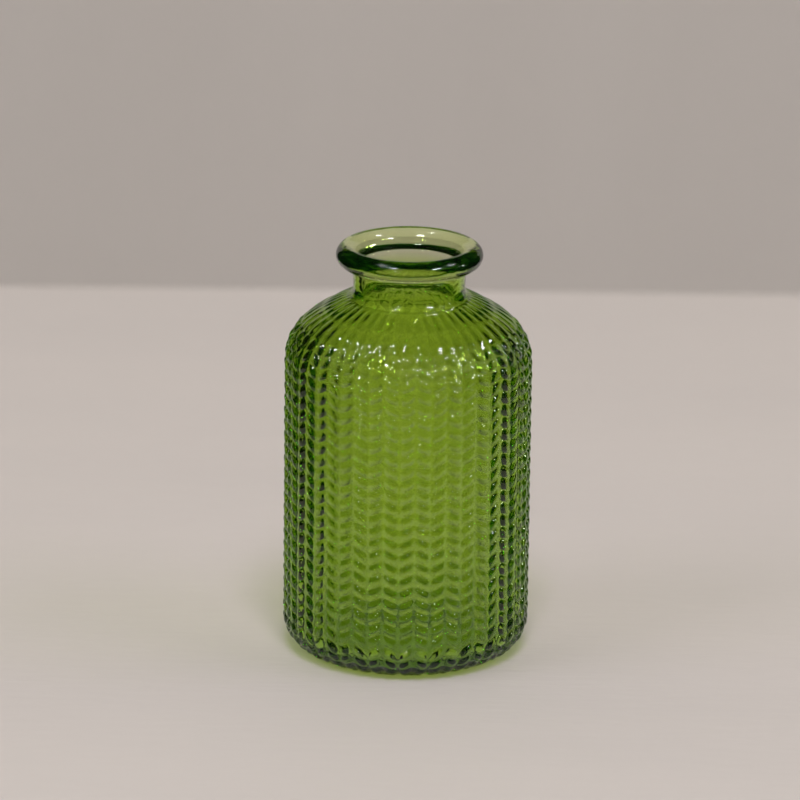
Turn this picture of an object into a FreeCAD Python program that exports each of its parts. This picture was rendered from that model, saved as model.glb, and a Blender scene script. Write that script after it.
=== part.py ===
import FreeCAD, Part
import math
import os
import re
import Sketcher

# A small bud vase, blown into a mould as one piece of green glass: a cylindrical body on a
# rounded heel, a soft shoulder, a short straight neck and a thick rolled lip.
# It is a solid of revolution about Z, in millimetres. The origin is the centre of the foot,
# on the surface that the vase stands on, and +Z points up out of the mouth.
# The body and shoulder sizes are measured over the crests of the moulded texture.

# (alias, value, what it is)
DRIVING_DIMENSIONS = [
    ("total_height", 101.5, "foot to the top of the lip"),
    ("body_radius", 30.0, "outside of the cylindrical body"),
    ("heel_radius", 8.0, "rounding between the body and the foot"),
    ("shoulder_base", 72.9, "height where the body starts to curve in"),
    ("shoulder_radius", 12.4, "rounding of the shoulder's edge"),
    ("shoulder_turn", 53.0, "degrees that the shoulder's edge turns through"),
    ("crown_radius", 49.4, "flatter curve from the shoulder's edge to the neck"),
    ("neck_radius", 13.5, "outside of the neck"),
    ("neck_root_radius", 1.5, "hollow rounding where the neck leaves the shoulder"),
    ("lip_centre_radius", 15.1, "axis of the vase to the centre of the lip's round section"),
    ("lip_section_radius", 2.6, "radius of the lip's round section"),
    ("lip_root_radius", 0.6, "hollow rounding under the lip"),
    ("bore_radius", 11.3, "inside of the neck"),
    ("mouth_radius", 8.0, "flare from the bore to the lip"),
    ("inner_root_radius", 3.5, "rounding inside, where the bore opens into the body"),
    ("wall_thickness", 2.6, "glass in the body and the shoulder"),
    ("floor_height", 3.6, "foot to the inside floor"),
    ("inner_heel_radius", 5.5, "rounding between the inside wall and the floor"),
    ("punt_radius", 19.0, "edge of the hollow pushed up under the foot"),
    ("punt_depth", 1.2, "height of that hollow at its centre"),
]

ORIGIN_POINT = (-1, 1)  # the sketcher's name for its own origin
TANGENT, CORNER = "Tangent", "Coincident"


class Section:
    """A sketch drawn as one pen stroke; each piece joins the one before it."""

    def __init__(self, body, name, sheet):
        self.sheet = sheet
        self.sketch = body.newObject("Sketcher::SketchObject", name)
        planes = [plane for plane in body.Origin.OriginFeatures if plane.Role == "XZ_Plane"]
        self.sketch.AttachmentSupport = [(planes[0], "")]
        self.sketch.MapMode = "FlatFace"
        self.first_end = None
        self.last_end = None

    def line(self, start, end, lies, join=TANGENT):
        """A line that lies Horizontal or Vertical."""
        piece = self.sketch.addGeometry(Part.LineSegment(point(start), point(end)), False)
        self._join((piece, 1), (piece, 2), join)
        self.sketch.addConstraint(Sketcher.Constraint(lies, piece))
        return piece

    def arc(self, centre, radius, start_angle, end_angle, size, join=TANGENT):
        """An arc from start_angle to end_angle; it runs clockwise when the angle falls."""
        circle = Part.Circle(point(centre), FreeCAD.Vector(0, 0, 1), radius)
        low, high = sorted((start_angle, end_angle))
        piece = self.sketch.addGeometry(Part.ArcOfCircle(circle, low, high), False)
        ends = ((piece, 1), (piece, 2)) if end_angle > start_angle else ((piece, 2), (piece, 1))
        self._join(ends[0], ends[1], join)
        self.size("Radius", (piece,), radius, size)
        return piece

    def _join(self, start, end, join):
        if self.last_end is None:
            self.first_end = start
        else:
            self.sketch.addConstraint(Sketcher.Constraint(join, *self.last_end, *start))
        self.last_end = end

    def close(self):
        self.sketch.addConstraint(Sketcher.Constraint(CORNER, *self.last_end, *self.first_end))

    def put_on_origin(self, end):
        self.sketch.addConstraint(Sketcher.Constraint(CORNER, *end, *ORIGIN_POINT))

    def size(self, kind, of_what, value, expression):
        """A size that the sheet drives; of_what names a piece, or one or two of its points."""
        constraint = Sketcher.Constraint(kind, *of_what, value)
        number = self.sketch.addConstraint(constraint)
        self.sketch.setExpression(f"Constraints[{number}]", self.sheet.bind(expression))

    def across(self, end, value, expression):
        """The distance of a point from the axis of the vase."""
        self.size("DistanceX", (*ORIGIN_POINT, *end), value, expression)

    def up(self, end, value, expression):
        """The height of a point above the foot."""
        self.size("DistanceY", (*ORIGIN_POINT, *end), value, expression)


class Sheet:
    """The spreadsheet of driving dimensions, read by alias."""

    def __init__(self, document, rows):
        self.object = document.addObject("Spreadsheet::Sheet", "Dimensions")
        for number, (alias, value, meaning) in enumerate(rows, start=1):
            self.object.set(f"A{number}", alias)
            self.object.set(f"B{number}", str(value))
            self.object.set(f"C{number}", meaning)
            self.object.setAlias(f"B{number}", alias)
        self.aliases = [row[0] for row in rows]
        document.recompute()

    def __getattr__(self, alias):
        return float(getattr(self.object, alias))

    def bind(self, expression):
        """The expression with each alias pointed at the sheet."""
        def point_at_sheet(word):
            return f"Dimensions.{word[0]}" if word[0] in self.aliases else word[0]

        return re.sub("[a-z_]+", point_at_sheet, expression)


def point(across_and_up):
    return FreeCAD.Vector(across_and_up[0], across_and_up[1], 0)


def on_circle(centre, radius, angle):
    return (centre[0] + radius * math.cos(angle), centre[1] + radius * math.sin(angle))


def angle_between(start, end):
    """The direction from one point to another, from 0 to a full turn."""
    return math.atan2(end[1] - start[1], end[0] - start[0]) % (2 * math.pi)


def rolling_ball(wall, ball_radius, centre, distance, side):
    """The centre of a ball that touches an upright wall at radius `wall` from outside, and is
    `distance` from `centre`; side is +1 for the ball above that centre and -1 for below."""
    across = wall + ball_radius
    rise = math.sqrt(distance ** 2 - (across - centre[0]) ** 2)
    return (across, centre[1] + side * rise)


def draw_wall_section(section, size):
    """Half of the vase cut down its axis: foot, outside, lip, inside, floor and axis."""
    quarter = math.pi / 2
    half = math.pi
    turn = math.radians(size.shoulder_turn)
    inner_radius = size.body_radius - size.wall_thickness
    inner_crown_radius = size.crown_radius - size.wall_thickness

    # centres of the round stretches
    foot_edge = size.body_radius - size.heel_radius
    heel = (foot_edge, size.heel_radius)
    shoulder = (size.body_radius - size.shoulder_radius, size.shoulder_base)
    crown = on_circle(shoulder, size.shoulder_radius - size.crown_radius, turn)
    neck_root = rolling_ball(size.neck_radius, size.neck_root_radius, crown,
                             size.crown_radius + size.neck_root_radius, +1)
    lip = (size.lip_centre_radius, size.total_height - size.lip_section_radius)
    lip_root = rolling_ball(size.neck_radius, size.lip_root_radius, lip,
                            size.lip_section_radius + size.lip_root_radius, -1)
    mouth = rolling_ball(size.bore_radius, size.mouth_radius, lip,
                         size.mouth_radius - size.lip_section_radius, -1)
    inner_root = rolling_ball(size.bore_radius, size.inner_root_radius, crown,
                              inner_crown_radius + size.inner_root_radius, +1)
    inner_heel = (inner_radius - size.inner_heel_radius, size.floor_height + size.inner_heel_radius)

    # outside, from the axis along the foot and up to the lip
    foot_line = section.line((0, 0), (foot_edge, 0), "Horizontal")
    section.put_on_origin((foot_line, 1))
    section.arc(heel, size.heel_radius, -quarter, 0, "heel_radius")
    wall_line = section.line((size.body_radius, heel[1]), (size.body_radius, shoulder[1]), "Vertical")
    shoulder_arc = section.arc(shoulder, size.shoulder_radius, 0, turn, "shoulder_radius")
    crown_end = angle_between(crown, neck_root)
    section.arc(crown, size.crown_radius, turn, crown_end, "crown_radius")
    section.arc(neck_root, size.neck_root_radius, half + crown_end, half, "neck_root_radius")
    neck_line = section.line((size.neck_radius, neck_root[1]), (size.neck_radius, lip_root[1]),
                             "Vertical")
    lip_start = angle_between(lip_root, lip)
    section.arc(lip_root, size.lip_root_radius, half, lip_start, "lip_root_radius")

    # lip, over the top and down to the bore
    lip_end = angle_between(mouth, lip)
    lip_arc = section.arc(lip, size.lip_section_radius, lip_start - half, lip_end,
                          "lip_section_radius")
    section.arc(mouth, size.mouth_radius, lip_end, half, "mouth_radius")
    bore_line = section.line((size.bore_radius, mouth[1]), (size.bore_radius, inner_root[1]),
                             "Vertical")

    # inside, down to the floor and back to the axis
    inner_crown_end = angle_between(crown, inner_root)
    section.arc(inner_root, size.inner_root_radius, half, half + inner_crown_end,
                "inner_root_radius")
    section.arc(crown, inner_crown_radius, inner_crown_end, turn, "crown_radius - wall_thickness")
    inner_shoulder_arc = section.arc(shoulder, size.shoulder_radius - size.wall_thickness, turn, 0,
                                     "shoulder_radius - wall_thickness")
    inner_line = section.line((inner_radius, shoulder[1]), (inner_radius, inner_heel[1]), "Vertical")
    section.arc(inner_heel, size.inner_heel_radius, 0, -quarter, "inner_heel_radius")
    floor_line = section.line((inner_heel[0], size.floor_height), (0, size.floor_height),
                              "Horizontal")
    section.line((0, size.floor_height), (0, 0), "Vertical", CORNER)
    section.close()

    # where the stretches stand
    section.across((wall_line, 1), size.body_radius, "body_radius")
    section.across((neck_line, 1), size.neck_radius, "neck_radius")
    section.across((bore_line, 1), size.bore_radius, "bore_radius")
    section.across((inner_line, 1), inner_radius, "body_radius - wall_thickness")
    section.across((lip_arc, 3), lip[0], "lip_centre_radius")
    section.up((lip_arc, 3), lip[1], "total_height - lip_section_radius")
    section.up((shoulder_arc, 1), size.shoulder_base, "shoulder_base")
    section.up((inner_shoulder_arc, 1), size.shoulder_base, "shoulder_base")
    section.up((floor_line, 1), size.floor_height, "floor_height")
    for edge in (shoulder_arc, inner_shoulder_arc):
        section.size("Angle", (edge,), turn, "shoulder_turn * 1deg")


def draw_punt_section(section, size):
    """Half of the shallow dome under the foot: its radius at the foot and its depth."""
    dome_radius = (size.punt_radius ** 2 + size.punt_depth ** 2) / (2 * size.punt_depth)
    dome_centre = (0, size.punt_depth - dome_radius)
    rim_angle = angle_between(dome_centre, (size.punt_radius, 0))
    foot_line = section.line((0, 0), (size.punt_radius, 0), "Horizontal")
    section.put_on_origin((foot_line, 1))
    section.arc(dome_centre, dome_radius, rim_angle, math.pi / 2,
                "(punt_radius ^ 2 + punt_depth ^ 2) / (2 * punt_depth)", CORNER)
    axis_line = section.line((0, size.punt_depth), (0, 0), "Vertical", CORNER)
    section.close()
    section.across((foot_line, 2), size.punt_radius, "punt_radius")
    section.up((axis_line, 1), size.punt_depth, "punt_depth")


def revolve(body, kind, name, sketch):
    """A full turn of a sketch about the vase's axis; the kind says whether it adds or cuts."""
    feature = body.newObject(kind, name)
    feature.Profile = sketch
    feature.ReferenceAxis = (sketch, ["V_Axis"])
    feature.Angle = 360
    sketch.Visibility = False
    return feature


def make_vase_body(document, sheet):
    """The whole vase: one piece of glass."""
    body = document.addObject("PartDesign::Body", "VaseBody")
    body.Label = "vase_body"

    wall = Section(body, "WallSection", sheet)
    draw_wall_section(wall, sheet)
    glass = revolve(body, "PartDesign::Revolution", "GlassWall", wall.sketch)
    document.recompute()
    solid_volume = glass.Shape.Volume

    punt = Section(body, "PuntSection", sheet)
    draw_punt_section(punt, sheet)
    hollow = revolve(body, "PartDesign::Groove", "Punt", punt.sketch)
    document.recompute()
    assert hollow.Shape.Volume < solid_volume, "the punt has to take glass away"
    for section in (wall, punt):
        assert section.sketch.FullyConstrained, f"{section.sketch.Name} can still move"

    body.Placement = FreeCAD.Placement(FreeCAD.Vector(0, 0, 0), FreeCAD.Rotation())
    return body


def check_document(document):
    for item in document.Objects:
        bad_states = {"Invalid", "Error"} & set(item.State)
        assert not bad_states, f"{item.Name} is {bad_states}"


def export_parts(parts, folder):
    os.makedirs(folder, exist_ok=True)
    for part in parts:
        shape = part.Shape
        assert not shape.isNull() and shape.isValid(), f"{part.Label} is not a valid shape"
        shape.exportStep(os.path.join(folder, part.Label + ".step"))


document = FreeCAD.newDocument("BudVase")
dimensions = Sheet(document, DRIVING_DIMENSIONS)
parts = [make_vase_body(document, dimensions)]
document.recompute()
check_document(document)
export_parts(parts, "parts")
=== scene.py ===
"""A moulded green glass bud vase on a pale table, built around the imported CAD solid.

The vase is one closed mesh: the same wall section as the CAD solid, turned about Z, with the
raised chevron texture of the mould pressed into its outside as real geometry. The section is in
millimetres in the row frame, and each ring of points is turned into metres. The camera, the
stage and the lights are in metres.
"""
import math

import bpy
import numpy as np
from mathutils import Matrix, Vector, noise


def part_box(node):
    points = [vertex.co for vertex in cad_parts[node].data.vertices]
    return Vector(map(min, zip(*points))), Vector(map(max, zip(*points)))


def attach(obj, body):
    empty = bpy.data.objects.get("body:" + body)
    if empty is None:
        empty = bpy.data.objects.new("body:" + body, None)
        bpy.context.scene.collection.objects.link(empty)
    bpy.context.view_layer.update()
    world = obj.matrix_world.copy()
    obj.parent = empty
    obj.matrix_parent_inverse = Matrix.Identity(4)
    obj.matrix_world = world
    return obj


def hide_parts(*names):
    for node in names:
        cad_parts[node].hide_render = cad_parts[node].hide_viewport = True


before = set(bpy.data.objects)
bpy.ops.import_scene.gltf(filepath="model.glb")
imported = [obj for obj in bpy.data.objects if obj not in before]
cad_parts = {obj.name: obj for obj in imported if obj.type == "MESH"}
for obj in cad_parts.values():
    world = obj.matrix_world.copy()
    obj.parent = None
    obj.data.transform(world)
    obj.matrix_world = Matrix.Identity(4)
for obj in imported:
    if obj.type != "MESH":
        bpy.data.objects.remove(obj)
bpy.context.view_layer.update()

MM = 0.001  # metres in a millimetre
QUARTER_TURN = math.pi / 2
HALF_TURN = math.pi
FULL_TURN = 2 * math.pi

# --- the vase's sizes, in millimetres ------------------------------------------------------
HIGHEST_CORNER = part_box("vase_body")[1]
TOTAL_HEIGHT = HIGHEST_CORNER[2] / MM
BODY_RADIUS = HIGHEST_CORNER[0] / MM
HEEL_RADIUS = 8.0
SHOULDER_BASE = 72.9                # height at which the straight wall ends
SHOULDER_RADIUS = 12.4
SHOULDER_TURN = math.radians(53)    # how far the shoulder turns before the flatter crown
CROWN_RADIUS = 49.4
NECK_RADIUS = 13.5
NECK_ROOT_RADIUS = 1.5
LIP_CENTRE_RADIUS = 15.1
LIP_SECTION_RADIUS = 2.6
LIP_ROOT_RADIUS = 0.6
BORE_RADIUS = 11.3
MOUTH_RADIUS = 8.0                  # the round that leads from the lip into the bore
INNER_ROOT_RADIUS = 3.5
WALL_THICKNESS = 2.6
FLOOR_HEIGHT = 3.6
INNER_HEEL_RADIUS = 5.5
PUNT_RADIUS = 19.0                  # the punt is the shallow hollow under the foot
PUNT_DEPTH = 1.2

# --- the moulded texture, in millimetres ---------------------------------------------------
CHEVRONS_ROUND = 24                 # chevrons side by side, two columns of grains each
CHEVRON_PHASE = math.radians(-3.5)  # where one chevron's low middle stands, from the -Y side
ROW_PITCH = 3.09                    # height of one grain on the body
ROW_START = 1.0                     # how far up the heel from the foot the first row starts
REGULAR_ROWS = 28
FLUTES = (6.6, 6.9)                 # heights of the two stretched rows on the shoulder
CHEVRON_RISE = 1.65                 # how far a row climbs from a chevron's middle to its peak
CHEVRON_CURVE = 1.35                # 1 is a straight chevron; more rounds its middle
RELIEF = 0.85                       # how far the grooves lie below the crests
FLUTE_RELIEF = 0.32                 # share of that depth left in the flutes
HEEL_RELIEF = 0.5                   # and in the lowest row, on the heel
HEEL_ROWS = 3                       # rows over which the full depth is reached
GRAIN_WIDTH = 0.82                  # share of a column's width that its grains fill
GRAIN_HEIGHT = 0.98                 # share of a row's height that its grains fill
GRAIN_SQUARENESS = 2.0              # 2 is an ellipse; more fills the corners
GRAIN_FULLNESS = 0.5                # 0.5 is a round back; more is flatter at the rim
GRAIN_SEED = 3
UNEVENNESS = 0.12                   # share by which a grain may stand lower than the rest
INNER_WAVES = 0.22                  # how far the inside of the body swells in and out
WAVES_ROUND = 2.6                   # how quickly the swelling changes round the body
WAVE_HEIGHT = 9.0                   # and up it, in millimetres for one swell

# --- the mesh ------------------------------------------------------------------------------
# mesh lines across a column and up a row of grains, closest together at the grains' rims
COLUMN_STEPS = (0, 0.09, 0.2, 0.35, 0.5, 0.65, 0.8, 0.91)
ROW_STEPS = (0, 0.09, 0.27, 0.5, 0.73, 0.91)
LIP_SEGMENTS = 192                  # half the mesh lines of the textured outside
INNER_SEGMENTS = 96                 # and half of that
FOOT_TRIM = 0.3                     # how far inside the foot's edge its last smooth ring is


class Arc:
    """A round stretch of the wall section, from one angle to another."""

    def __init__(self, centre, radius, start, end, steps=0):
        self.centre = centre
        self.radius = radius
        self.start = start
        self.end = end
        self.length = radius * abs(end - start)
        self.steps = steps

    def at(self, fraction):
        """Points and outward normals (radius and height) at fractions of the stretch."""
        angle = self.start + (self.end - self.start) * fraction
        side = 1 if self.end > self.start else -1
        normal = np.stack([np.cos(angle), np.sin(angle)], axis=-1)
        return np.asarray(self.centre) + self.radius * normal, side * normal


class Line:
    """A straight stretch of the wall section."""

    def __init__(self, start, end, steps=0):
        self.start = np.asarray(start, float)
        self.end = np.asarray(end, float)
        self.length = float(np.linalg.norm(self.end - self.start))
        self.steps = steps

    def at(self, fraction):
        along = (self.end - self.start) / self.length
        normal = np.array([along[1], -along[0]])
        fraction = np.asarray(fraction)[..., None]
        return self.start + (self.end - self.start) * fraction, normal + 0 * fraction


class Outline:
    """Stretches joined end to end, measured by arc length."""

    def __init__(self, stretches):
        self.stretches = stretches
        self.ends = np.cumsum([stretch.length for stretch in stretches])
        self.length = self.ends[-1]

    def at(self, arc_length):
        points = np.zeros(np.shape(arc_length) + (2,))
        normals = np.zeros_like(points)
        which = np.clip(np.searchsorted(self.ends, arc_length), 0, len(self.stretches) - 1)
        for number, stretch in enumerate(self.stretches):
            here = which == number
            if here.any():
                begin = self.ends[number] - stretch.length
                fraction = (np.asarray(arc_length)[here] - begin) / stretch.length
                points[here], normals[here] = stretch.at(fraction)
        return points, normals


def on_circle(centre, radius, angle):
    return (centre[0] + radius * math.cos(angle), centre[1] + radius * math.sin(angle))


def angle_between(start, end):
    return math.atan2(end[1] - start[1], end[0] - start[0]) % FULL_TURN


def rolling_ball(wall, ball_radius, centre, distance, side):
    """The centre of a ball that touches an upright wall from outside, at a distance from
    another centre; side is +1 for the ball above that centre and -1 for below."""
    across = wall + ball_radius
    return (across, centre[1] + side * math.sqrt(distance ** 2 - (across - centre[0]) ** 2))


def wall_section():
    """The wall section's stretches by name, in order from the middle of the underside, up the
    outside, over the lip and down the inside to the middle of the floor."""
    foot_edge = BODY_RADIUS - HEEL_RADIUS
    foot_middle = ((PUNT_RADIUS + foot_edge) / 2, 0)
    dome_radius = (PUNT_RADIUS ** 2 + PUNT_DEPTH ** 2) / (2 * PUNT_DEPTH)
    dome = (0, PUNT_DEPTH - dome_radius)
    dome_end = angle_between(dome, (PUNT_RADIUS, 0))

    heel = (foot_edge, HEEL_RADIUS)
    shoulder = (BODY_RADIUS - SHOULDER_RADIUS, SHOULDER_BASE)
    crown = on_circle(shoulder, SHOULDER_RADIUS - CROWN_RADIUS, SHOULDER_TURN)
    neck_root = rolling_ball(NECK_RADIUS, NECK_ROOT_RADIUS, crown,
                             CROWN_RADIUS + NECK_ROOT_RADIUS, 1)
    crown_end = angle_between(crown, neck_root)

    lip = (LIP_CENTRE_RADIUS, TOTAL_HEIGHT - LIP_SECTION_RADIUS)
    lip_root = rolling_ball(NECK_RADIUS, LIP_ROOT_RADIUS, lip,
                            LIP_SECTION_RADIUS + LIP_ROOT_RADIUS, -1)
    mouth = rolling_ball(BORE_RADIUS, MOUTH_RADIUS, lip, MOUTH_RADIUS - LIP_SECTION_RADIUS, -1)
    lip_start = angle_between(lip_root, lip)
    lip_end = angle_between(mouth, lip)

    inner_radius = BODY_RADIUS - WALL_THICKNESS
    inner_shoulder_radius = SHOULDER_RADIUS - WALL_THICKNESS
    inner_crown_radius = CROWN_RADIUS - WALL_THICKNESS
    inner_root = rolling_ball(BORE_RADIUS, INNER_ROOT_RADIUS, crown,
                              inner_crown_radius + INNER_ROOT_RADIUS, 1)
    inner_crown_end = angle_between(crown, inner_root)
    inner_heel = (inner_radius - INNER_HEEL_RADIUS, FLOOR_HEIGHT + INNER_HEEL_RADIUS)

    return {
        "underside": [
            Arc(dome, dome_radius, QUARTER_TURN, dome_end, steps=8),
            Line((PUNT_RADIUS, 0), foot_middle, steps=1),
        ],
        "foot": [
            Line(foot_middle, (foot_edge - FOOT_TRIM, 0), steps=1),
        ],
        "textured outside": [
            Arc(heel, HEEL_RADIUS, -QUARTER_TURN, 0),
            Line((BODY_RADIUS, heel[1]), (BODY_RADIUS, shoulder[1])),
            Arc(shoulder, SHOULDER_RADIUS, 0, SHOULDER_TURN),
            Arc(crown, CROWN_RADIUS, SHOULDER_TURN, crown_end),
        ],
        "neck and lip": [
            Arc(neck_root, NECK_ROOT_RADIUS, HALF_TURN + crown_end, HALF_TURN, steps=4),
            Line((NECK_RADIUS, neck_root[1]), (NECK_RADIUS, lip_root[1]), steps=4),
            Arc(lip_root, LIP_ROOT_RADIUS, HALF_TURN, lip_start, steps=4),
            Arc(lip, LIP_SECTION_RADIUS, lip_start - HALF_TURN, lip_end, steps=44),
            Arc(mouth, MOUTH_RADIUS, lip_end, HALF_TURN, steps=8),
        ],
        "bore": [
            Line((BORE_RADIUS, mouth[1]), (BORE_RADIUS, inner_root[1]), steps=3),
        ],
        "wavy inside": [
            Arc(inner_root, INNER_ROOT_RADIUS, HALF_TURN, HALF_TURN + inner_crown_end, steps=6),
            Arc(crown, inner_crown_radius, inner_crown_end, SHOULDER_TURN, steps=8),
            Arc(shoulder, inner_shoulder_radius, SHOULDER_TURN, 0, steps=8),
            Line((inner_radius, shoulder[1]), (inner_radius, inner_heel[1]), steps=24),
        ],
        "floor": [
            Arc(inner_heel, INNER_HEEL_RADIUS, 0, -QUARTER_TURN, steps=8),
            Line((inner_heel[0], FLOOR_HEIGHT), (0, FLOOR_HEIGHT), steps=8),
        ],
    }


def row_edges(length):
    """Arc lengths of the edges between rows, from the foot to the neck. Row 0 is a plain strip
    at the foot, the regular rows follow, then the flutes and a plain strip at the neck."""
    edges = [ROW_START + ROW_PITCH * row for row in range(REGULAR_ROWS + 1)]
    for flute in FLUTES:
        edges.append(edges[-1] + flute)
    return [0.0] + edges + [length]


def into_flutes(row):
    """0 over the regular rows, rising to 1 from the middle of the last of them to the middle of
    the first flute."""
    return min(max(row - REGULAR_ROWS - 0.5, 0), 1)


def columns():
    """The angle of each mesh line up the textured outside, and where it lies in its chevron:
    0 at the chevron's middle, 1 at its peak."""
    steps = np.array(COLUMN_STEPS)
    one_chevron = np.concatenate([steps, 1 + steps])
    lines = np.concatenate([2 * chevron + one_chevron for chevron in range(CHEVRONS_ROUND)])
    angle = CHEVRON_PHASE + HALF_TURN * lines / CHEVRONS_ROUND
    place = lines % 2
    return angle, np.minimum(place, 2 - place)


def textured_rings(stretches):
    """Rings of points over the textured outside, whose edges follow the edges of the grains."""
    outline = Outline(stretches)
    edges = row_edges(outline.length)
    last_row = len(edges) - 2
    angle, from_middle = columns()
    climb = from_middle ** CHEVRON_CURVE - 0.5
    across = np.abs(2 * from_middle - 1) / GRAIN_WIDTH
    column = np.repeat(np.arange(2 * CHEVRONS_ROUND), len(COLUMN_STEPS))
    chance = np.random.default_rng(GRAIN_SEED).random((last_row + 1, 2 * CHEVRONS_ROUND))
    rows = [row + step for row in range(last_row + 1) for step in ROW_STEPS] + [last_row + 1]
    rings = []
    for row in rows:
        slant = min(row, 1) * (1 - into_flutes(row))
        level = np.interp(row, range(len(edges)), edges)
        arc_length = np.clip(level + CHEVRON_RISE * slant * climb, 0, outline.length)
        along = abs(2 * (row % 1) - 1) / GRAIN_HEIGHT
        inside = 1 - across ** GRAIN_SQUARENESS - along ** GRAIN_SQUARENESS
        proud = np.maximum(inside, 0) ** GRAIN_FULLNESS
        proud = proud * (1 - UNEVENNESS * chance[min(int(row), last_row)][column])
        has_grains = 1 <= row <= last_row
        relief = RELIEF * (1 - (1 - FLUTE_RELIEF) * into_flutes(row)) * has_grains
        relief = relief * np.interp(row, (1, 1 + HEEL_ROWS), (HEEL_RELIEF, 1))
        points, normals = outline.at(arc_length)
        points = points - (relief * (1 - proud))[:, None] * normals
        rings.append(ring(points, angle))
    return rings


def ring(points, angle):
    """Points (radius and height, mm) turned to an angle from the -Y side, in metres."""
    radius, height = points[..., 0], points[..., 1]
    return np.stack([radius * np.sin(angle), -radius * np.cos(angle), height + 0 * angle], -1) * MM


def plain_rings(stretches, segments, waves=0.0):
    """Rings along a smooth part of the section, without its first edge. Waves, if any, move
    the rings in and out by up to that much, as a mould leaves the inside of blown glass."""
    lines = columns()[0]
    angle = lines[::len(lines) // segments]
    rings = []
    for stretch in stretches:
        for step in range(1, stretch.steps + 1):
            point, normal = stretch.at(np.array(step / stretch.steps))
            points = np.broadcast_to(point, (segments, 2))
            if waves:
                swell = np.array([waviness(point[1], turn) for turn in angle])
                points = points + waves * swell[:, None] * normal
            rings.append(ring(points, angle))
    return rings


def waviness(height, turn):
    """A slow random rise and fall, from -1 to 1, that closes up round the vase."""
    return noise.noise(Vector((WAVES_ROUND * math.sin(turn), WAVES_ROUND * math.cos(turn),
                               height / WAVE_HEIGHT)))


def band(start, count, next_start, next_count):
    """Faces between two neighbouring rings, from where their vertices start and how many each
    one has: the same number, or one of them twice as many."""
    fewer = min(count, next_count)
    faces = []
    for step in range(fewer):
        after = (step + 1) % fewer
        if count == next_count:
            faces.append((start + step, start + after, next_start + after, next_start + step))
        elif count > next_count:
            left, right = start + 2 * step, start + 2 * after
            middle = left + 1
            here, there = next_start + step, next_start + after
            faces += [(left, middle, here), (middle, there, here), (middle, right, there)]
        else:
            left, right = next_start + 2 * step, next_start + 2 * after
            middle = left + 1
            here, there = start + step, start + after
            faces += [(here, middle, left), (here, there, middle), (there, right, middle)]
    return faces


def skin(rings):
    """Vertices and faces of rings joined in order; the first and last ring each close on a
    single point at the axis."""
    counts = [len(points) for points in rings]
    starts = 1 + np.cumsum([0] + counts)
    first_point = rings[0].mean(axis=0)
    last_point = rings[-1].mean(axis=0)
    vertices = np.concatenate([first_point[None]] + rings + [last_point[None]])
    end = len(vertices) - 1
    first, last = counts[0], counts[-1]
    faces = [(0, starts[0] + (step + 1) % first, starts[0] + step) for step in range(first)]
    for number in range(len(rings) - 1):
        faces += band(starts[number], counts[number], starts[number + 1], counts[number + 1])
    faces += [(starts[-2] + step, starts[-2] + (step + 1) % last, end) for step in range(last)]
    return vertices, faces


def mesh_object(name, vertices, faces, material):
    mesh = bpy.data.meshes.new(name)
    mesh.from_pydata([tuple(map(float, vertex)) for vertex in vertices], [],
                     [tuple(map(int, face)) for face in faces])
    mesh.validate()
    mesh.shade_smooth()
    mesh.materials.append(material)
    thing = bpy.data.objects.new(name, mesh)
    bpy.context.scene.collection.objects.link(thing)
    return thing


def build_vase(material):
    section = wall_section()
    rings = plain_rings(section["underside"], INNER_SEGMENTS)
    rings += plain_rings(section["foot"], LIP_SEGMENTS)
    rings += textured_rings(section["textured outside"])
    rings += plain_rings(section["neck and lip"], LIP_SEGMENTS)
    rings += plain_rings(section["bore"], INNER_SEGMENTS)
    rings += plain_rings(section["wavy inside"], INNER_SEGMENTS, INNER_WAVES)
    rings += plain_rings(section["floor"], INNER_SEGMENTS)[:-1]
    vertices, faces = skin(rings)
    return mesh_object("vase_glass", vertices, faces, material)


# --- materials -----------------------------------------------------------------------------
class Nodes:
    """A node tree built by name. A socket is named as (node, output)."""

    def __init__(self, tree):
        self.tree = tree
        tree.nodes.clear()

    def add(self, kind, settings=None, **inputs):
        """A new node; settings are its own choices, and inputs are values or sockets."""
        node = self.tree.nodes.new(kind)
        for name, value in (settings or {}).items():
            setattr(node, name, value)
        for name, value in inputs.items():
            self.feed(node, name.replace("_", " "), value)
        return node

    def feed(self, node, name, value):
        if isinstance(value, tuple) and isinstance(value[0], bpy.types.Node):
            self.tree.links.new(value[0].outputs[value[1]], node.inputs[name])
        else:
            node.inputs[name].default_value = value

    def mix_colour(self, factor, first, second):
        return self.add("ShaderNodeMix", {"data_type": "RGBA"}, Factor=factor, A=first,
                        B=second), "Result"

    def mix_shader(self, factor, first, second):
        node = self.add("ShaderNodeMixShader")
        self.feed(node, 0, factor)
        self.tree.links.new(first.outputs[0], node.inputs[1])
        self.tree.links.new(second.outputs[0], node.inputs[2])
        return node

    def spread(self, value, low, high, from_low=0.0, from_high=1.0):
        """A value moved from one range to another."""
        node = self.add("ShaderNodeMapRange", Value=value, From_Min=from_low,
                        From_Max=from_high, To_Min=low, To_Max=high)
        return node, "Result"

    def noise(self, place, scale, detail=2.0):
        return self.add("ShaderNodeTexNoise", Vector=place, Scale=scale, Detail=detail), "Fac"

    def stretched(self, place, scale):
        return self.add("ShaderNodeMapping", Vector=place, Scale=scale), "Vector"

    def bump(self, height, strength, distance):
        return self.add("ShaderNodeBump", Height=height, Strength=strength,
                        Distance=distance), "Normal"


def new_material(name):
    made = bpy.data.materials.new(name)
    made.use_nodes = True
    return made, Nodes(made.node_tree)


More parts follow.
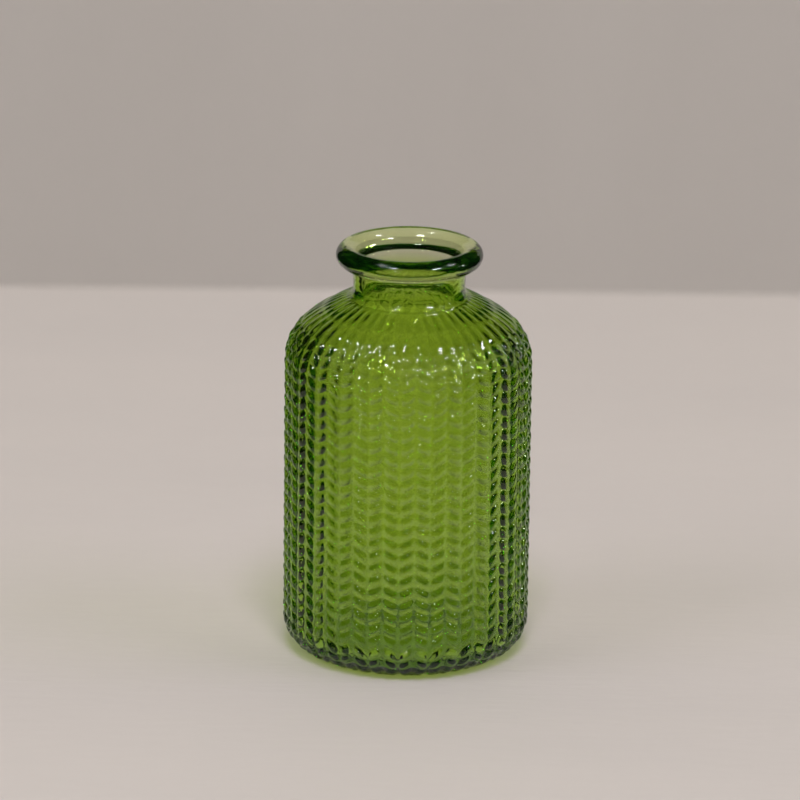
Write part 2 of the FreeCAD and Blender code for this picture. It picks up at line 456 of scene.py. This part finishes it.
GLASS_IOR = 1.52
ABSORPTION = (64.0, 42.0, 165.0)      # per metre of glass, in red, green and blue
ABSORPTION_MARGIN = 1.02              # keeps every channel of the volume's colour above zero
CLEAR = (1, 1, 1)
BODY_TINT = (0.855, 0.937, 0.555)     # what a surface of the body lets through on top of that
STREAK_TINT = (0.82, 0.917, 0.485)    # the same where the colour gathered in the melt
INSIDE_TINT = (0.73, 0.89, 0.42)      # what is left of light that glances off inside the glass
SHADOW_TINT = (0.89, 0.92, 0.83)      # what a surface lets through of a lamp behind it
TINT_RANGE = (0.0915, 0.0965)         # heights between which the body's tint fades to the lip
STREAK_STRETCH = (1.0, 1.0, 0.45)
STREAK_SCALE = 70.0                   # streaks to a metre
SHINE_ROUGHNESS = (0.035, 0.075)
SKIN_SCALE = 420.0                    # dimples of the moulded skin to a metre
SKIN_DETAIL = 1.0
SKIN_STRENGTH = 1.0
SKIN_DEPTH = 0.00006


def glass_material():
    """Smooth green glass. Its colour is partly in the glass and partly where light crosses its
    surface, so that the body is deep green and the thick lip stays pale."""
    made, nodes = new_material("green_glass")
    place = (nodes.add("ShaderNodeTexCoord"), "Object")
    height = (nodes.add("ShaderNodeSeparateXYZ", Vector=place), "Z")
    streaks = nodes.noise(nodes.stretched(place, STREAK_STRETCH), STREAK_SCALE)
    body = nodes.mix_colour(streaks, (*BODY_TINT, 1), (*STREAK_TINT, 1))
    fade = nodes.spread(height, 0.0, 1.0, *TINT_RANGE)
    colour = nodes.mix_colour(fade, body, (*CLEAR, 1))
    skin_height = nodes.noise(place, SKIN_SCALE, SKIN_DETAIL)
    normal = nodes.bump(skin_height, SKIN_STRENGTH, SKIN_DEPTH)
    bend = nodes.add("ShaderNodeBsdfRefraction", Roughness=0.0, IOR=GLASS_IOR, Color=colour,
                     Normal=normal)

    inside = (nodes.add("ShaderNodeNewGeometry"), "Backfacing")
    shine_colour = nodes.mix_colour(inside, (*CLEAR, 1), (*INSIDE_TINT, 1))
    outer_roughness = nodes.spread(streaks, *SHINE_ROUGHNESS)
    roughness = (nodes.add("ShaderNodeMix", Factor=inside, A=outer_roughness, B=0.0), "Result")
    shine = nodes.add("ShaderNodeBsdfAnisotropic", Color=shine_colour, Roughness=roughness,
                      Normal=normal)
    fresnel = (nodes.add("ShaderNodeFresnel", IOR=GLASS_IOR, Normal=normal), "Fac")
    glass = nodes.mix_shader(fresnel, bend, shine)

    for_lamps = nodes.add("ShaderNodeBsdfTransparent", Color=(*SHADOW_TINT, 1))
    shadow = (nodes.add("ShaderNodeLightPath"), "Is Shadow Ray")
    surface = nodes.mix_shader(shadow, glass, for_lamps)
    density = max(ABSORPTION) * ABSORPTION_MARGIN
    passed = [1 - value / density for value in ABSORPTION]
    volume = nodes.add("ShaderNodeVolumeAbsorption", Color=(*passed, 1), Density=density)
    nodes.add("ShaderNodeOutputMaterial", Surface=(surface, "Shader"), Volume=(volume, "Volume"))
    return made


FLOOR_COLOURS = ((0.597, 0.541, 0.503), (0.569, 0.517, 0.484))  # the paint's light and dark patches
WALL_COLOURS = ((0.53, 0.49, 0.46), (0.51, 0.47, 0.44))
FLOOR_GRAIN = (0.35, 1.6, 1.0)        # how the pattern is stretched along the boards
WALL_GRAIN = (1.6, 1.0, 0.35)
PATCH_SCALE = 9.0                     # patches of the paint to a metre
PATCH_DETAIL = 4.0
PATCH_MIX = (0.3, 0.7)                # how far the patches reach towards either colour
BRUSH_SCALE = 260.0                   # brush strokes to a metre
BRUSH_DETAIL = 3.0
BRUSH_STRENGTH = 0.5
BRUSH_DEPTH = 0.0003
PAINT_ROUGHNESS = (0.5, 0.75)


def paint_material(name, colours, grain):
    """Matt paint on board, a little uneven along the boards, with a fine brushed skin."""
    made, nodes = new_material(name)
    place = (nodes.add("ShaderNodeTexCoord"), "Object")
    light, dark = colours
    patches = nodes.noise(nodes.stretched(place, grain), PATCH_SCALE, PATCH_DETAIL)
    mix = nodes.spread(patches, 0.0, 1.0, *PATCH_MIX)
    colour = nodes.mix_colour(mix, (*light, 1), (*dark, 1))
    brushed = nodes.noise(nodes.stretched(place, grain), BRUSH_SCALE, BRUSH_DETAIL)
    roughness = nodes.spread(brushed, *PAINT_ROUGHNESS)
    normal = nodes.bump(brushed, BRUSH_STRENGTH, BRUSH_DEPTH)
    paint = nodes.add("ShaderNodeBsdfPrincipled", Base_Color=colour, Roughness=roughness,
                      Normal=normal)
    nodes.add("ShaderNodeOutputMaterial", Surface=(paint, "BSDF"))
    return made


# --- the camera ----------------------------------------------------------------------------
CAMERA_DISTANCE = 1.38
CAMERA_ELEVATION = math.radians(18.05)
CAMERA_ROLL = math.radians(0.683)
AIM_HEIGHT = 0.06226                  # height on the vase's axis that the camera points at
SENSOR_WIDTH = 36.0
LENS_LENGTH = 257.265                 # millimetres, as the sensor
SIDE_SHIFT = -0.0099125               # how far the picture is slid sideways, in picture widths
NEAREST = 0.05
FOCUS_PLACE = (0, 0, 0.05)
F_STOP = 18.0


def add_object(name, data, place=(0, 0, 0)):
    """A new object in the scene; with no data it is an empty."""
    thing = bpy.data.objects.new(name, data)
    thing.location = place
    bpy.context.scene.collection.objects.link(thing)
    return thing


def make_camera():
    data = bpy.data.cameras.new("camera")
    data.sensor_width = SENSOR_WIDTH
    data.lens = LENS_LENGTH
    data.shift_x = SIDE_SHIFT
    data.clip_start = NEAREST
    data.dof.use_dof = True
    data.dof.focus_object = add_object("focus", None, FOCUS_PLACE)
    data.dof.aperture_fstop = F_STOP
    away = CAMERA_DISTANCE * math.cos(CAMERA_ELEVATION)
    up = AIM_HEIGHT + CAMERA_DISTANCE * math.sin(CAMERA_ELEVATION)
    camera = add_object("camera", data, (0, -away, up))
    camera.rotation_euler = (QUARTER_TURN - CAMERA_ELEVATION, 0, 0)
    camera.rotation_euler.rotate_axis("Z", CAMERA_ROLL)
    bpy.context.scene.camera = camera
    return camera


def make_turntable(camera):
    """An empty that turns with the camera, so that wall and lights keep their places in view."""
    turntable = add_object("turntable", None)
    follow = turntable.constraints.new("COPY_ROTATION")
    follow.target = camera
    follow.use_x = False
    follow.use_y = False
    return turntable


# --- the stage -----------------------------------------------------------------------------
# How far the table and wall reach from the vase's axis. The glass sees only the near part, so
# that its edges pick up the dark room beyond, as in a real tabletop set. The far part carries
# the same paint on for the camera, a hair below and behind the near one.
NEAR_STAGE = {"left": 0.19, "right": 0.26, "front": 0.14, "back": 0.295, "high": 0.21, "drop": 0}
FAR_REACH = 1.6
HAIR = 0.00002
FAR_STAGE = {"left": FAR_REACH, "right": FAR_REACH, "front": FAR_REACH, "high": FAR_REACH,
             "back": NEAR_STAGE["back"] + HAIR, "drop": HAIR}


def make_stage(turntable):
    floor_paint = paint_material("floor_paint", FLOOR_COLOURS, FLOOR_GRAIN)
    wall_paint = paint_material("wall_paint", WALL_COLOURS, WALL_GRAIN)
    for name, reach in (("near", NEAR_STAGE), ("far", FAR_STAGE)):
        left, right = -reach["left"], reach["right"]
        front, back = -reach["front"], reach["back"]
        low, high = -reach["drop"], reach["high"]
        floor = mesh_object(f"floor_{name}",
                            [(left, front, low), (right, front, low),
                             (right, back, low), (left, back, low)],
                            [(0, 1, 2, 3)], floor_paint)
        wall = mesh_object(f"wall_{name}",
                           [(left, back, low), (right, back, low),
                            (right, back, high), (left, back, high)],
                           [(0, 1, 2, 3)], wall_paint)
        for thing in (floor, wall):
            thing.parent = turntable
            thing.visible_glossy = reach is NEAR_STAGE
            thing.visible_transmission = reach is NEAR_STAGE


# --- the lights ----------------------------------------------------------------------------
# The strips are the bright lamps that show in the glass: azimuth from the camera's side in
# degrees (positive to the right), elevation, length, and strength beside the others.
STRIPS = (
    (-75, 64, 0.6, 0.8),
    (-30, 51, 0.4, 1.4),
    (-20, 22, 0.35, 0.6),
    (50, 40, 0.4, 1.3),
    (88, 48, 0.45, 0.8),
    (92, 20, 0.3, 0.5),
)
STRIP_DISTANCE = 2.2
STRIP_WIDTH = 0.06
STRIP_RADIANCE = 130.0
# The soft panels light only the table and wall: azimuth, elevation, size and radiance.
PANELS = (
    (4, 60, 0.7, 23.2),
    (-65, 40, 1.2, 3.2),
    (75, 40, 1.2, 3.2),
)
PANEL_DISTANCE = 2.4
ROOM_COLOUR = (0.95, 0.95, 1.0)
ROOM_STRENGTH = 0.012


def make_lamp(name, azimuth, elevation, distance, width, height, radiance, turntable):
    """A flat lamp that faces the vase's foot and glows evenly with the given radiance."""
    data = bpy.data.lights.new(name, "AREA")
    data.shape = "RECTANGLE"
    data.size = width
    data.size_y = height
    data.energy = radiance * width * height * math.pi
    turn = math.radians(azimuth)
    climb = math.radians(elevation)
    direction = Vector((math.sin(turn) * math.cos(climb),
                        -math.cos(turn) * math.cos(climb), math.sin(climb)))
    lamp = add_object(name, data, distance * direction)
    lamp.rotation_euler = lamp.location.to_track_quat("Z", "Y").to_euler()
    lamp.parent = turntable
    return lamp


def make_lights(turntable):
    for number, (azimuth, elevation, length, strength) in enumerate(STRIPS):
        strip = make_lamp(f"strip_{number}", azimuth, elevation, STRIP_DISTANCE, length,
                          STRIP_WIDTH, STRIP_RADIANCE * strength, turntable)
        strip.visible_diffuse = False
    for number, (azimuth, elevation, size, radiance) in enumerate(PANELS):
        panel = make_lamp(f"panel_{number}", azimuth, elevation, PANEL_DISTANCE, size, size,
                          radiance, turntable)
        panel.visible_glossy = False
        panel.visible_transmission = False


def make_world():
    world = bpy.data.worlds.new("room")
    world.use_nodes = True
    nodes = Nodes(world.node_tree)
    glow = nodes.add("ShaderNodeBackground", Color=(*ROOM_COLOUR, 1), Strength=ROOM_STRENGTH)
    nodes.add("ShaderNodeOutputWorld", Surface=(glow, "Background"))
    bpy.context.scene.world = world


GLASS_BOUNCES = 24                    # enough for light to cross both walls and glance about
SHINE_BOUNCES = 12


def set_render_looks():
    scene = bpy.context.scene
    scene.view_settings.view_transform = "Standard"
    cycles = scene.cycles
    cycles.max_bounces = GLASS_BOUNCES
    cycles.transmission_bounces = GLASS_BOUNCES
    cycles.transparent_max_bounces = GLASS_BOUNCES
    cycles.glossy_bounces = SHINE_BOUNCES
    cycles.caustics_reflective = False
    cycles.caustics_refractive = False
    cycles.sample_clamp_indirect = 0


vase = build_vase(glass_material())
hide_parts("vase_body")
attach(vase, "root")
camera = make_camera()
turntable = make_turntable(camera)
make_stage(turntable)
make_lights(turntable)
make_world()
set_render_looks()
